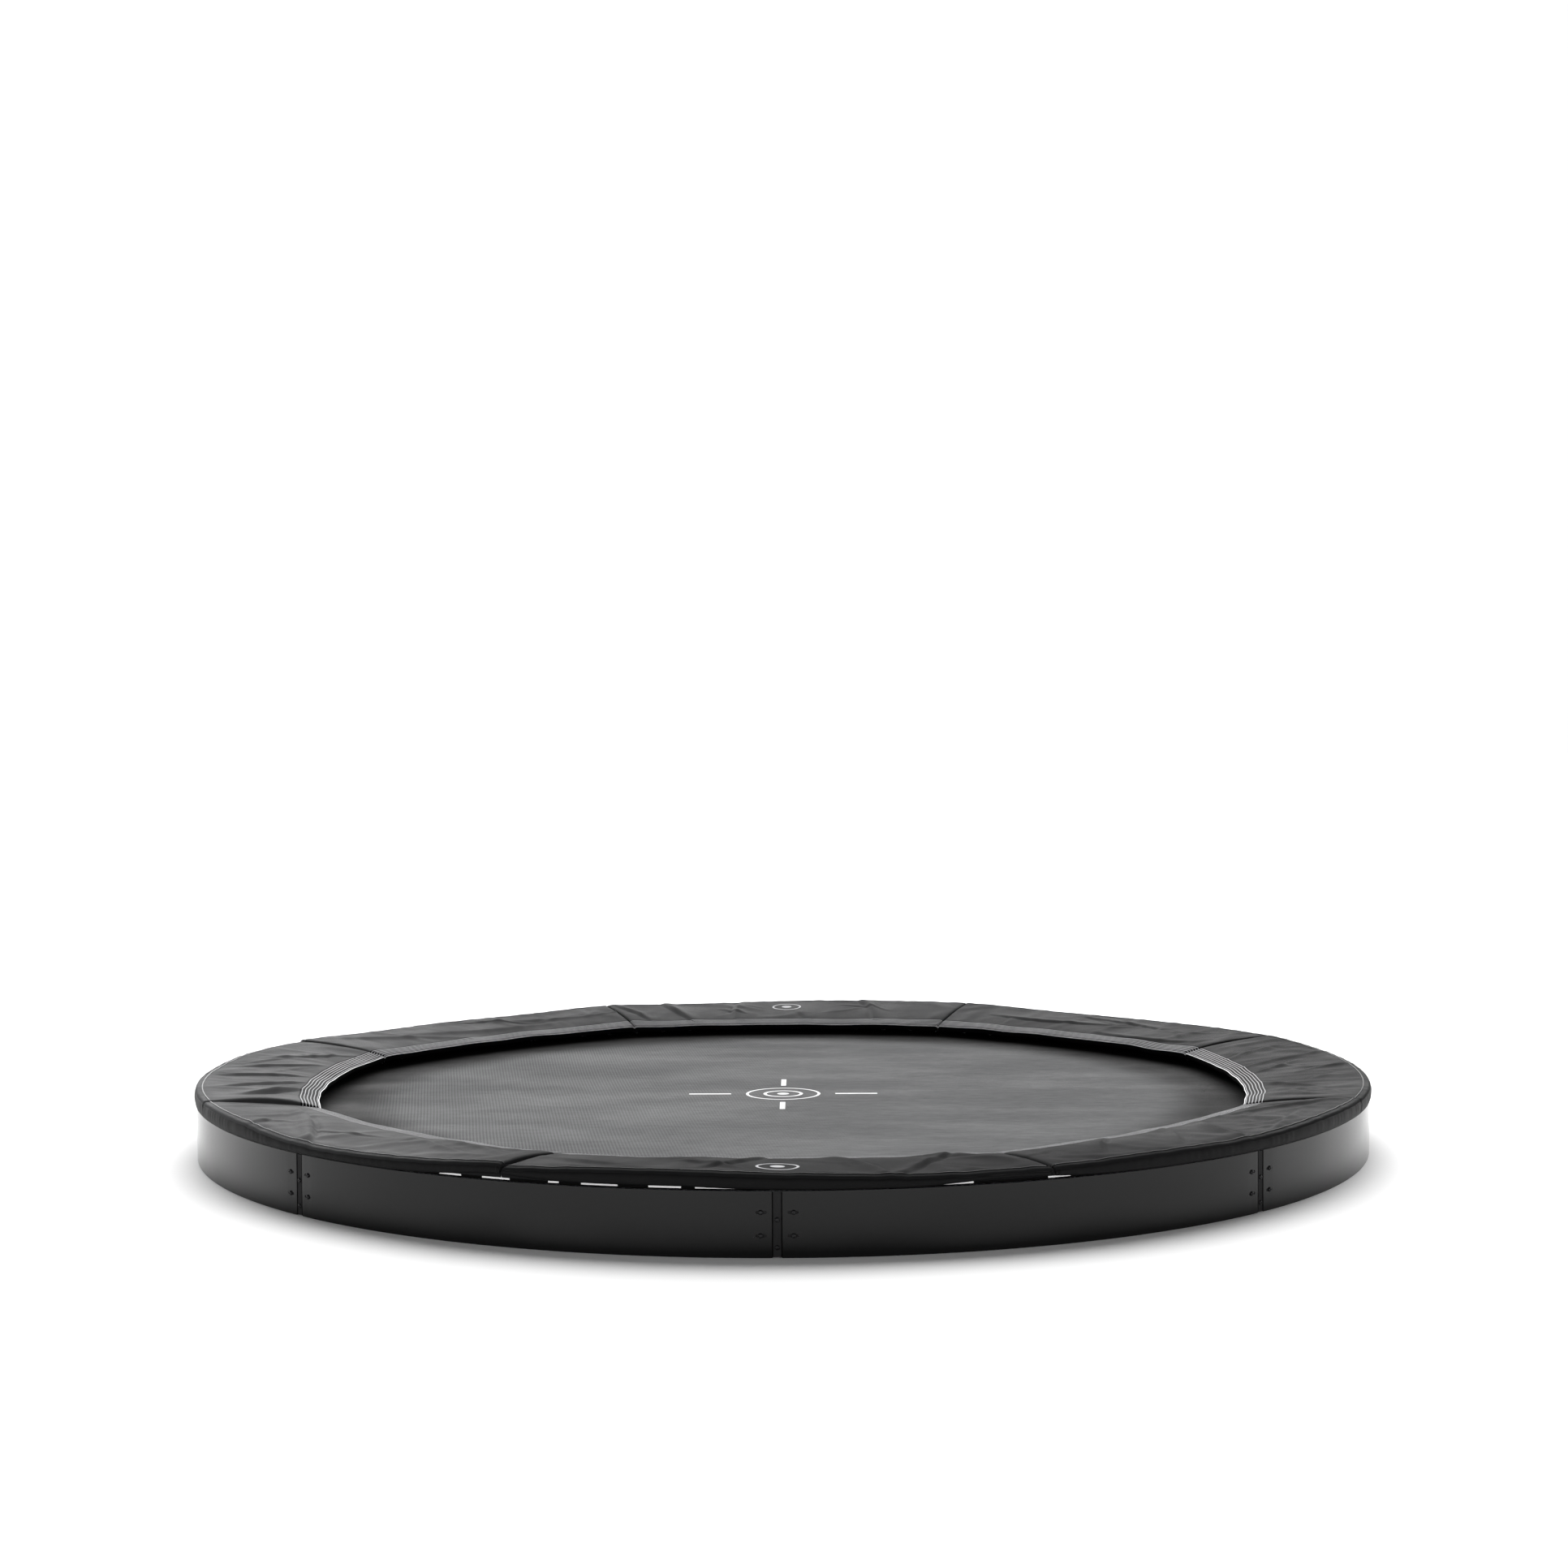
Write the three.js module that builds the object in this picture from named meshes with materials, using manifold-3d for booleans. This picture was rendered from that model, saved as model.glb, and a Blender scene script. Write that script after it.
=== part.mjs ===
// In-ground garden trampoline, 4.27 m across: a ring of curved wall panels, eight legs that carry
// a ring of steel tube, ninety-six springs, a woven jump mat and a padded edge.
// Millimetres, +Z up. The origin is the centre of the ring at ground level, and joint 1 is at -Y.
import * as THREE from "three";
import { mergeVertices } from "three/addons/utils/BufferGeometryUtils.js";
import Module from "manifold-3d";

const wasm = await Module();
wasm.setup();

// Driving dimensions
const SECTIONS = 8;
const SECTION_DEG = 360 / SECTIONS;
const FIRST_JOINT_DEG = -90;
const RING_SEGMENTS = 8 * SECTIONS; // flats round a full ring, so that every joint is at a corner
const GAP = 0.3; // between pieces that lie against each other

const WALL_RADIUS = 2136;
const WALL_HEIGHT = 195;
const WALL_THICKNESS = 1.5;
const WALL_END = 14.5; // from the middle of a joint to the end of a panel
const WALL_FLAT = 66; // the panel is flat from its end to here, where it is bolted
const WALL_ARC_STEPS = 4; // half the flats along a panel's arc

const PLATE_WIDTH = 120;
const PLATE_THICKNESS = 2.2;
const PLATE_BOTTOM = 2;
const PLATE_TOP = 193;

const NUT_PLATE = { width: 116, thickness: 3, bottom: 16, top: 146 };
const PANEL_BOLTS = { offset: 48, heights: [65, 133] };
const LEG_BOLT_HEIGHTS = [30, 111];
const BOLT = { shank: 3.8, head: 7.5, crown: 4.6, height: 4.5 };
const BOLT_HOLE = 5;
const SLOT = { middle: 46, length: 34, width: 9 };

const LEG_SIZE = 40;
const LEG_WALL = 2;
const LEG_BORE_TOP = 148;
const FOOT = { width: 64, depth: 45, thickness: 4, hole: 7 };

const TUBE_RING_RADIUS = 2106;
const TUBE_HEIGHT = 180;
const TUBE = { outer: 21, inner: 19, sides: 8 };
const TUBE_END_DEG = 0.08;
const SLEEVE = { outer: 23.8, inner: 21.8, halfDeg: 1.63 };

const MAT = { radius: 1846, bottom: 139.3, top: 141.3 };
const HEM = { inner: 1806, outer: 1850, bottom: 135, top: 139 };
const V_RING = { reach: 1884, halfWidth: 15 };

const SPRINGS_PER_SECTION = 12;
const SPRING = { coil: 12.5, hook: 26, sides: 5 };
const SPRING_OUTER = { radius: 2079, height: 171 };
const SPRING_INNER = { radius: V_RING.reach + 0.7, height: 137 };
const HOOK_STRIP = { inner: 2075.5, outer: 2079.5, bottom: 168, top: 173 };
const HOOK_STRIP_END_DEG = 1.2;

const PAD = { inner: 1692, outer: 2143, lip: 30, lipBottom: 160, endDeg: 0.12 };

// Faces worked out from those
const flatFace = Math.sqrt(WALL_RADIUS ** 2 - WALL_FLAT ** 2);
const plateFace = flatFace - WALL_THICKNESS - GAP;
const nutPlateFace = plateFace - PLATE_THICKNESS - GAP;
const legFace = nutPlateFace - NUT_PLATE.thickness - GAP;

// Manifold solids from three.js geometries, and back
function solid(geometry) {
  const plain = geometry.index ? geometry.toNonIndexed() : geometry.clone();
  plain.deleteAttribute("normal");
  plain.deleteAttribute("uv");
  const merged = mergeVertices(plain, 1e-4);
  return new wasm.Manifold(
    new wasm.Mesh({
      numProp: 3,
      vertProperties: merged.attributes.position.array,
      triVerts: new Uint32Array(merged.index.array),
    }),
  );
}

function geometryOf(manifold) {
  const { vertProperties, triVerts } = manifold.getMesh();
  const indexed = new THREE.BufferGeometry()
    .setAttribute("position", new THREE.BufferAttribute(vertProperties, 3))
    .setIndex(new THREE.BufferAttribute(triVerts, 1));
  const geometry = indexed.toNonIndexed();
  geometry.computeVertexNormals();
  return geometry;
}

const joined = (solids) => solids.reduce((whole, next) => whole.add(next));
const cut = (whole, cutters) => cutters.reduce((left, cutter) => left.subtract(cutter), whole);

function block(x, y, z) {
  const size = [x, y, z].map(([low, high]) => high - low);
  const middle = [x, y, z].map(([low, high]) => (high + low) / 2);
  return solid(new THREE.BoxGeometry(...size).translate(...middle));
}

// A profile of [radius, height] points, listed anticlockwise, turned about the Z axis
function turned(profile, segments, closed = true) {
  const points = profile.map(([radius, height]) => new THREE.Vector2(radius, height));
  if (closed) points.push(points[0].clone());
  return solid(new THREE.LatheGeometry(points, segments).rotateX(Math.PI / 2));
}

// A wedge from the Z axis outwards, wide enough to cut one section out of a ring
function wedge(fromDeg, toDeg) {
  const reach = 1.5 * WALL_RADIUS;
  const shape = new THREE.Shape();
  shape.moveTo(0, 0);
  for (const degrees of [fromDeg, toDeg]) {
    const angle = THREE.MathUtils.degToRad(degrees);
    shape.lineTo(reach * Math.cos(angle), reach * Math.sin(angle));
  }
  return solid(new THREE.ExtrudeGeometry(shape, { depth: 2 * WALL_HEIGHT, bevelEnabled: false }));
}

// A round bar's section as a profile for turned()
function roundSection(radius, sides) {
  return Array.from({ length: sides }, (_, i) => {
    const angle = (2 * Math.PI * i) / sides;
    return [TUBE_RING_RADIUS + radius * Math.cos(angle), TUBE_HEIGHT + radius * Math.sin(angle)];
  });
}

// A hole along X with six sides: across is its size along Y, and tall along Z
function holeAlongX(x, y, z, across, tall) {
  const corners = [
    [-across / 2, 0],
    [-across / 2 + tall / 4, -tall / 2],
    [across / 2 - tall / 4, -tall / 2],
    [across / 2, 0],
    [across / 2 - tall / 4, tall / 2],
    [-across / 2 + tall / 4, tall / 2],
  ];
  const shape = new THREE.Shape(corners.map(([a, b]) => new THREE.Vector2(a, b)));
  const depth = x[1] - x[0];
  const geometry = new THREE.ExtrudeGeometry(shape, { depth, bevelEnabled: false });
  geometry.rotateX(Math.PI / 2).rotateZ(Math.PI / 2); // the outline now lies in the YZ plane
  geometry.translate(x[0], y, z);
  return solid(geometry);
}

// Everything at a joint is made at azimuth 0, with the ring's outside towards +X.
const boltPlaces = [
  ...LEG_BOLT_HEIGHTS.map((height) => [0, height, plateFace]),
  ...[-PANEL_BOLTS.offset, PANEL_BOLTS.offset].flatMap((side) =>
    PANEL_BOLTS.heights.map((height) => [side, height, flatFace]),
  ),
];

function jointPlate() {
  const x = [plateFace - PLATE_THICKNESS, plateFace];
  const plate = block(x, [-PLATE_WIDTH / 2, PLATE_WIDTH / 2], [PLATE_BOTTOM, PLATE_TOP]);
  const through = [x[0] - 1, x[1] + 1];
  return cut(
    plate,
    boltPlaces.map(([y, z]) => holeAlongX(through, y, z, 2 * BOLT_HOLE, 2 * BOLT_HOLE)),
  );
}

// Button-head bolt along X, its head's underside just off the face at x
function bolt(face, y, z, tip) {
  const under = face + GAP;
  const length = under - tip;
  const profile = [
    [0, 0],
    [BOLT.shank, 0],
    [BOLT.shank, length],
    [BOLT.head, length],
    [BOLT.crown, length + BOLT.height],
    [0, length + BOLT.height],
  ].map(([radius, along]) => new THREE.Vector2(radius, along));
  const geometry = new THREE.LatheGeometry(profile, 6);
  return solid(geometry.rotateZ(-Math.PI / 2).translate(tip, y, z));
}

function nutPlateWithBolts() {
  const inside = nutPlateFace - NUT_PLATE.thickness;
  const half = NUT_PLATE.width / 2;
  const plate = block([inside, nutPlateFace], [-half, half], [NUT_PLATE.bottom, NUT_PLATE.top]);
  const bolts = boltPlaces.map(([y, z, face]) => {
    const tip = y === 0 ? legFace - 2 * LEG_WALL : inside + 1;
    return bolt(face, y, z, tip);
  });
  return joined([plate, ...bolts]);
}

function leg() {
  const half = LEG_SIZE / 2;
  const bore = half - LEG_WALL;
  const middle = legFace - half;
  const post = block([legFace - LEG_SIZE, legFace], [-half, half], [0, TUBE_HEIGHT]);
  const foot = block(
    [legFace - FOOT.depth, legFace],
    [-FOOT.width / 2, FOOT.width / 2],
    [0, FOOT.thickness],
  );
  const sleeve = turned(roundSection(SLEEVE.outer, TUBE.sides), RING_SEGMENTS).intersect(
    wedge(-SLEEVE.halfDeg, SLEEVE.halfDeg),
  );
  const boltHoles = LEG_BOLT_HEIGHTS.map((height) =>
    holeAlongX([middle, legFace + 1], 0, height, 2 * BOLT_HOLE, 2 * BOLT_HOLE),
  );
  return cut(joined([post, foot, sleeve]), [
    turned(roundSection(SLEEVE.inner, TUBE.sides), RING_SEGMENTS),
    block([middle - bore, middle + bore], [-bore, bore], [FOOT.thickness, LEG_BORE_TOP]),
    block(
      [middle - FOOT.hole, middle + FOOT.hole],
      [-FOOT.hole, FOOT.hole],
      [-1, FOOT.thickness + 1],
    ),
    ...boltHoles,
  ]);
}

// Everything that spans from one joint to the next is made from azimuth 0 to SECTION_DEG.
function topTube() {
  const outside = turned(roundSection(TUBE.outer, TUBE.sides), RING_SEGMENTS);
  const inside = turned(roundSection(TUBE.inner, TUBE.sides), RING_SEGMENTS);
  return outside
    .subtract(inside)
    .intersect(wedge(TUBE_END_DEG, SECTION_DEG - TUBE_END_DEG));
}

// A point of a panel's outline: x and y at the joint where the panel starts or ends
function atEnd(side, x, y) {
  const angle = THREE.MathUtils.degToRad(side === "start" ? 0 : SECTION_DEG);
  const along = side === "start" ? y : -y;
  return [
    x * Math.cos(angle) - along * Math.sin(angle),
    x * Math.sin(angle) + along * Math.cos(angle),
  ];
}

function wallPanel() {
  const inner = flatFace - WALL_THICKNESS;
  const turn = Math.atan2(WALL_FLAT, flatFace);
  const last = THREE.MathUtils.degToRad(SECTION_DEG) - turn;
  const innerTurn = Math.atan2(WALL_FLAT, inner);
  const innerLast = THREE.MathUtils.degToRad(SECTION_DEG) - innerTurn;
  const shape = new THREE.Shape();
  shape.moveTo(...atEnd("start", flatFace, WALL_END));
  shape.absarc(0, 0, WALL_RADIUS, turn, last, false);
  shape.lineTo(...atEnd("end", flatFace, WALL_END));
  shape.lineTo(...atEnd("end", inner, WALL_END));
  shape.absarc(0, 0, Math.hypot(inner, WALL_FLAT), innerLast, innerTurn, true);
  shape.lineTo(...atEnd("start", inner, WALL_END));
  const panel = solid(
    new THREE.ExtrudeGeometry(shape, {
      depth: WALL_HEIGHT,
      curveSegments: WALL_ARC_STEPS,
      bevelEnabled: false,
    }),
  );
  const slots = PANEL_BOLTS.heights.map((height) =>
    holeAlongX([inner - 4, flatFace + 4], SLOT.middle, height, SLOT.length, SLOT.width),
  );
  const farSlots = PANEL_BOLTS.heights.map((height) =>
    holeAlongX([inner - 4, flatFace + 4], -SLOT.middle, height, SLOT.length, SLOT.width)
      .rotate([0, 0, SECTION_DEG]),
  );
  return cut(panel, [...slots, ...farSlots]);
}

// Twelve spring bodies, joined at their outer hooks by a thin strip beside the tube
function springRow() {
  const drop = SPRING_OUTER.height - SPRING_INNER.height;
  const run = SPRING_OUTER.radius - SPRING_INNER.radius;
  const length = Math.hypot(drop, run);
  const profile = [
    [0, 0],
    [SPRING.coil, SPRING.hook],
    [SPRING.coil, length - SPRING.hook],
    [0, length],
  ].map(([radius, along]) => new THREE.Vector2(radius, along));
  const spring = new THREE.LatheGeometry(profile, SPRING.sides)
    .rotateZ(-Math.PI / 2)
    .rotateY(-Math.atan2(drop, run))
    .translate(SPRING_INNER.radius, 0, SPRING_INNER.height);
  const pitch = SECTION_DEG / SPRINGS_PER_SECTION;
  const springs = Array.from({ length: SPRINGS_PER_SECTION }, (_, i) =>
    solid(spring.clone().rotateZ(THREE.MathUtils.degToRad((i + 0.5) * pitch))),
  );
  const strip = turned(
    [
      [HOOK_STRIP.inner, HOOK_STRIP.bottom],
      [HOOK_STRIP.outer, HOOK_STRIP.bottom],
      [HOOK_STRIP.outer, HOOK_STRIP.top],
      [HOOK_STRIP.inner, HOOK_STRIP.top],
    ],
    RING_SEGMENTS,
  ).intersect(wedge(HOOK_STRIP_END_DEG, SECTION_DEG - HOOK_STRIP_END_DEG));
  return joined([strip, ...springs]);
}

// The rings made whole
function jumpMat() {
  const profile = [
    [0, MAT.bottom],
    [MAT.radius, MAT.bottom],
    [MAT.radius, MAT.top],
    [0, MAT.top],
  ];
  return turned(profile, RING_SEGMENTS, false);
}

function hemWithRings() {
  const hem = turned(
    [
      [HEM.inner, HEM.bottom],
      [HEM.outer, HEM.bottom],
      [HEM.outer, HEM.top],
      [HEM.inner, HEM.top],
    ],
    RING_SEGMENTS,
  );
  const root = HEM.outer - 12;
  const shape = new THREE.Shape();
  shape.moveTo(root, -V_RING.halfWidth);
  shape.lineTo(V_RING.reach, -1.5);
  shape.lineTo(V_RING.reach, 1.5);
  shape.lineTo(root, V_RING.halfWidth);
  const thickness = HEM.top - HEM.bottom - 1;
  const ring = new THREE.ExtrudeGeometry(shape, { depth: thickness, bevelEnabled: false });
  ring.translate(0, 0, HEM.bottom + 0.5);
  const count = SECTIONS * SPRINGS_PER_SECTION;
  const rings = Array.from({ length: count }, (_, i) =>
    solid(ring.clone().rotateZ((2 * Math.PI * (i + 0.5)) / count)),
  );
  return joined([hem, ...rings]);
}

// One eighth of the padded edge, centred on a joint. Its cover hangs in a lip round the opening.
function padSection() {
  const half = SECTION_DEG / 2 - PAD.endDeg;
  return turned(
    [
      [PAD.inner, PAD.lipBottom + 4],
      [PAD.inner + 6, PAD.lipBottom],
      [PAD.inner + PAD.lip, PAD.lipBottom],
      [PAD.inner + PAD.lip + 16, 180],
      [PAD.outer - 68, 206],
      [PAD.outer, 206],
      [PAD.outer, 236],
      [PAD.outer - 14, 243],
      [PAD.inner + 12, 204],
      [PAD.inner, 196],
    ],
    RING_SEGMENTS,
  ).intersect(wedge(-half, half));
}

const finish = (color, roughness, metalness) =>
  new THREE.MeshStandardMaterial({ color, roughness, metalness });
const wallPaint = finish("#38393b", 0.36, 0.3);
const framePaint = finish("#1c1d1f", 0.45, 0.3);
const zinc = finish("#9b9ea1", 0.4, 0.85);
const blackBolt = finish("#141415", 0.35, 0.6);
const weave = finish("#3a3b3c", 0.8, 0);
const webbing = finish("#101011", 0.85, 0);
const padCover = finish("#303132", 0.55, 0);

const shapes = {
  joint_plate: [jointPlate, framePaint],
  joint_bolts: [nutPlateWithBolts, blackBolt],
  leg: [leg, zinc],
  pad_section: [padSection, padCover],
  wall_panel: [wallPanel, wallPaint],
  top_tube: [topTube, zinc],
  spring_row: [springRow, zinc],
};

const trampoline = new THREE.Group();
for (const [name, [make, material]] of Object.entries(shapes)) {
  const geometry = geometryOf(make());
  for (let i = 0; i < SECTIONS; i += 1) {
    const mesh = new THREE.Mesh(geometry, material);
    mesh.name = `${name}_${i + 1}`;
    mesh.rotation.z = THREE.MathUtils.degToRad(FIRST_JOINT_DEG + i * SECTION_DEG);
    trampoline.add(mesh);
  }
}
for (const [name, make, material] of [
  ["jump_mat", jumpMat, weave],
  ["mat_hem", hemWithRings, webbing],
]) {
  const mesh = new THREE.Mesh(geometryOf(make()), material);
  mesh.name = name;
  trampoline.add(mesh);
}

export default trampoline;
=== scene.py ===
"""In-ground garden trampoline on a pale floor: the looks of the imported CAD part.

Metres, +Z up, in the part's own frame: the origin is the ring's centre at ground level, and
joint 1 is at -Y. Sections are numbered as in the CAD. An azimuth is measured from +X towards +Y.
"""

import math

import bmesh
import bpy
import numpy as np
from mathutils import Matrix, Vector


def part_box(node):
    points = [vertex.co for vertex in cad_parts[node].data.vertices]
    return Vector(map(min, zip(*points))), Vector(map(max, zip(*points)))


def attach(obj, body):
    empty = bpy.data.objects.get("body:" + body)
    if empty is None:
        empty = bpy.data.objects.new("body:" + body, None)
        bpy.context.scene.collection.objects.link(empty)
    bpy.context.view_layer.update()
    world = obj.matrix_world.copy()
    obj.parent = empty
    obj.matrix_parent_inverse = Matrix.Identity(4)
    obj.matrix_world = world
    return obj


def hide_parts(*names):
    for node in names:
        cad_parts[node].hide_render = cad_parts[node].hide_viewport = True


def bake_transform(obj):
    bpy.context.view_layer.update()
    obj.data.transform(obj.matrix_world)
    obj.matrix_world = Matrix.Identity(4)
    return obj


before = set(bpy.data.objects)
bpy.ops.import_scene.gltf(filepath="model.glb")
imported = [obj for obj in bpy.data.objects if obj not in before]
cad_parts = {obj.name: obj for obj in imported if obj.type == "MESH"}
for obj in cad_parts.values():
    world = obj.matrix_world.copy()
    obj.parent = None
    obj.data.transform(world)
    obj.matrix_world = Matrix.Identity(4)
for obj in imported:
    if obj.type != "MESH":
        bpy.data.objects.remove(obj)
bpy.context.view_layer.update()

# Driving dimensions. The heights and radii that the CAD holds come from its nodes.
SECTIONS = 8
SECTION = 2 * math.pi / SECTIONS
FIRST_JOINT = -math.pi / 2
SPRINGS = 96

_, panel_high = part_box("wall_panel_1")
mat_low, mat_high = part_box("jump_mat")
hem_low, hem_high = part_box("mat_hem")
plate_low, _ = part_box("joint_plate_1")
WALL_HEIGHT = panel_high.z
WALL_THICKNESS = 0.0015
WALL_FACE = -plate_low.y + 0.0018  # the flat face at a panel's end, just outside the joint plate
WALL_END = 0.0145  # from a joint's middle to a panel's end
WALL_FLAT = 0.066  # and to where the panel starts to curve
# the black strips at the joints paint the shade in the joint's recess
SHADE_STRIP_INNER = 0.0120  # and to the free edge of the black strip there
PANEL_BOLT_HEIGHTS = (0.065, 0.133)
LEG_BOLT_HEIGHTS = (0.030, 0.111)

TUBE_RING = 2.106
TUBE_HEIGHT = 0.18
TUBE_OUTER = 0.021
TUBE_WALL = 0.0015
TUBE_GAP = 0.0014  # radians, from a joint's middle to a tube's end
SLEEVE_OUTER = 0.0238
SLEEVE_INNER = 0.0218
SLEEVE_HALF = 0.0283  # radians, half the sleeve's length along the ring
LEG_FACE = WALL_FACE - 0.0076  # the outer face of the post

MAT_TOP = mat_high.z
MAT_RADIUS = mat_high.x
HEM_INNER = 1.806
HEM_OUTER = 1.85
V_RING_REACH = hem_high.x

PAD_INNER = 1.692  # at the middle of a section
PAD_INNER_AT_SEAM = 1.738
PAD_OUTER = 2.143
PAD_SEAM_GAP = 0.0008  # radians, from the middle of a seam to a section's end
TRIM_WIDTH = 0.072
STRIPES = 6
BADGE_RADIUS = 1.985  # from the ring's centre to each badge's centre


def joint_angle(k):
    """Azimuth of joint k, and of the middle of pad section k. Joint 1 is at -Y."""
    return FIRST_JOINT + (k - 1) * SECTION


def polar(radius, azimuth, height):
    """Points from cylindrical coordinates, as an array whose last axis is x, y, z."""
    radius, azimuth, height = np.broadcast_arrays(radius, azimuth, height)
    return np.stack([radius * np.cos(azimuth), radius * np.sin(azimuth), height], axis=-1)


def full_turn(count):
    """Evenly spaced angles all the way round."""
    return np.linspace(0, 2 * math.pi, count, endpoint=False)


def smooth_step(x):
    x = np.clip(x, 0, 1)
    return x * x * (3 - 2 * x)


# ---------------------------------------------------------------- materials


class Nodes:
    """A small helper that makes nodes in a tree and links them."""

    def __init__(self, tree):
        self.tree = tree

    def add(self, kind, inputs=None, **settings):
        node = self.tree.nodes.new(kind)
        for key, value in settings.items():
            setattr(node, key, value)
        for key, value in (inputs or {}).items():
            if isinstance(value, bpy.types.NodeSocket):
                self.tree.links.new(value, node.inputs[key])
            else:
                node.inputs[key].default_value = value
        return node

    def math(self, operation, *values):
        return self.add("ShaderNodeMath", dict(enumerate(values)), operation=operation).outputs[0]

    def weighted(self, *terms):
        """The sum of values times their weights."""
        products = [self.math("MULTIPLY", *term) for term in terms]
        total = products[0]
        for product in products[1:]:
            total = self.math("ADD", total, product)
        return total

    def split(self, vector):
        return self.add("ShaderNodeSeparateXYZ", {0: vector}).outputs

    def distance(self, x, y):
        """How far the point x, y is from the origin."""
        return self.math("SQRT", self.weighted((x, x), (y, y)))

    def noise(self, vector, scale, detail=3.0, roughness=0.5):
        inputs = {"Vector": vector, "Scale": scale, "Detail": detail, "Roughness": roughness}
        return self.add("ShaderNodeTexNoise", inputs).outputs["Fac"]

    def ramp(self, value, low, high, to_low=0.0, to_high=1.0):
        """A smooth map of value from low..high to to_low..to_high."""
        inputs = {0: value, 1: low, 2: high, 3: to_low, 4: to_high}
        node = self.add("ShaderNodeMapRange", inputs, interpolation_type="SMOOTHSTEP")
        return node.outputs[0]

    def mix(self, factor, low, high):
        inputs = {0: factor, 6: (*low, 1) if isinstance(low, tuple) else low}
        inputs[7] = (*high, 1) if isinstance(high, tuple) else high
        return self.add("ShaderNodeMix", inputs, data_type="RGBA").outputs[2]

    def stretched(self, vector, scale):
        return self.add("ShaderNodeMapping", {"Vector": vector, "Scale": scale}).outputs[0]


class Surface(Nodes):
    """A new material and its nodes."""

    def __init__(self, name, color, roughness, **sockets):
        self.material = bpy.data.materials.new(name)
        self.material.use_nodes = True
        super().__init__(self.material.node_tree)
        self.shader = self.tree.nodes["Principled BSDF"]
        self.shader.inputs["Base Color"].default_value = (*color, 1)
        self.shader.inputs["Roughness"].default_value = roughness
        for socket, value in sockets.items():
            self.shader.inputs[socket.replace("_", " ")].default_value = value

    def place(self):
        return self.add("ShaderNodeTexCoord").outputs["Object"]

    def cloth_place(self):
        """The mesh's own map: x along the seam line and y across it, in metres."""
        return self.add("ShaderNodeUVMap", uv_map="cloth").outputs[0]

    def set(self, socket, value):
        self.tree.links.new(value, self.shader.inputs[socket])

    def bump(self, height, distance, strength=1.0, onto=None):
        inputs = {"Height": height, "Distance": distance, "Strength": strength}
        if onto is not None:
            inputs["Normal"] = onto
        normal = self.add("ShaderNodeBump", inputs).outputs[0]
        self.set("Normal", normal)
        return normal


def make_paint(name, dark, light, roughness, specular):
    """Powder coat: fine orange peel, faint cloudy variation, and soft scuffs near the ground."""
    n = Surface(name, dark, roughness, Specular_IOR_Level=specular)
    place = n.place()
    cloud = n.noise(place, 3.0, 4.0)
    dust = n.math("MULTIPLY", n.ramp(n.split(place)[2], 0.05, 0.0), n.noise(place, 40.0, 6.0))
    n.set("Base Color", n.mix(n.weighted((cloud, 0.5), (dust, 0.6)), dark, light))
    n.set("Roughness", n.ramp(cloud, 0.3, 0.75, roughness - 0.04, roughness + 0.06))
    waves = n.noise(n.stretched(place, (1.0, 1.0, 2.2)), 1.6, 1.0)
    broad = n.bump(waves, 0.02, 0.5)
    n.bump(n.noise(place, 900.0, 2.0), 0.0004, 0.25, onto=broad)
    return n.material


def make_zinc():
    """Galvanised steel: a faint spangle in colour and gloss."""
    n = Surface("zinc_coat", (0.5, 0.51, 0.52), 0.36, Metallic=0.9)
    cells = n.add("ShaderNodeTexVoronoi", {"Vector": n.place(), "Scale": 130.0}).outputs["Color"]
    grey = n.add("ShaderNodeSeparateColor", {0: cells}).outputs[0]
    n.set("Base Color", n.mix(grey, (0.42, 0.43, 0.45), (0.6, 0.61, 0.62)))
    n.set("Roughness", n.ramp(grey, 0.0, 1.0, 0.28, 0.44))
    n.bump(grey, 0.0001, 0.3)
    return n.material


def make_bolt_black():
    """Black oxide on turned steel, a little lighter where the head is rubbed."""
    black = (0.012, 0.012, 0.013)
    n = Surface("bolt_oxide", black, 0.3, Metallic=0.7)
    wear = n.ramp(n.noise(n.place(), 260.0, 4.0), 0.55, 0.7)
    n.set("Base Color", n.mix(wear, black, (0.05, 0.05, 0.052)))
    n.set("Roughness", n.ramp(wear, 0.0, 1.0, 0.26, 0.42))
    return n.material


def thread_pattern(n, vector, pitch):
    """Over and under of a plain weave, from -1 to 1, with threads pitch apart along x and y."""
    split = n.split(vector)
    waves = (n.math("SINE", n.math("MULTIPLY", split[i], math.pi / pitch)) for i in (0, 1))
    return n.math("MULTIPLY", *waves)


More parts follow.
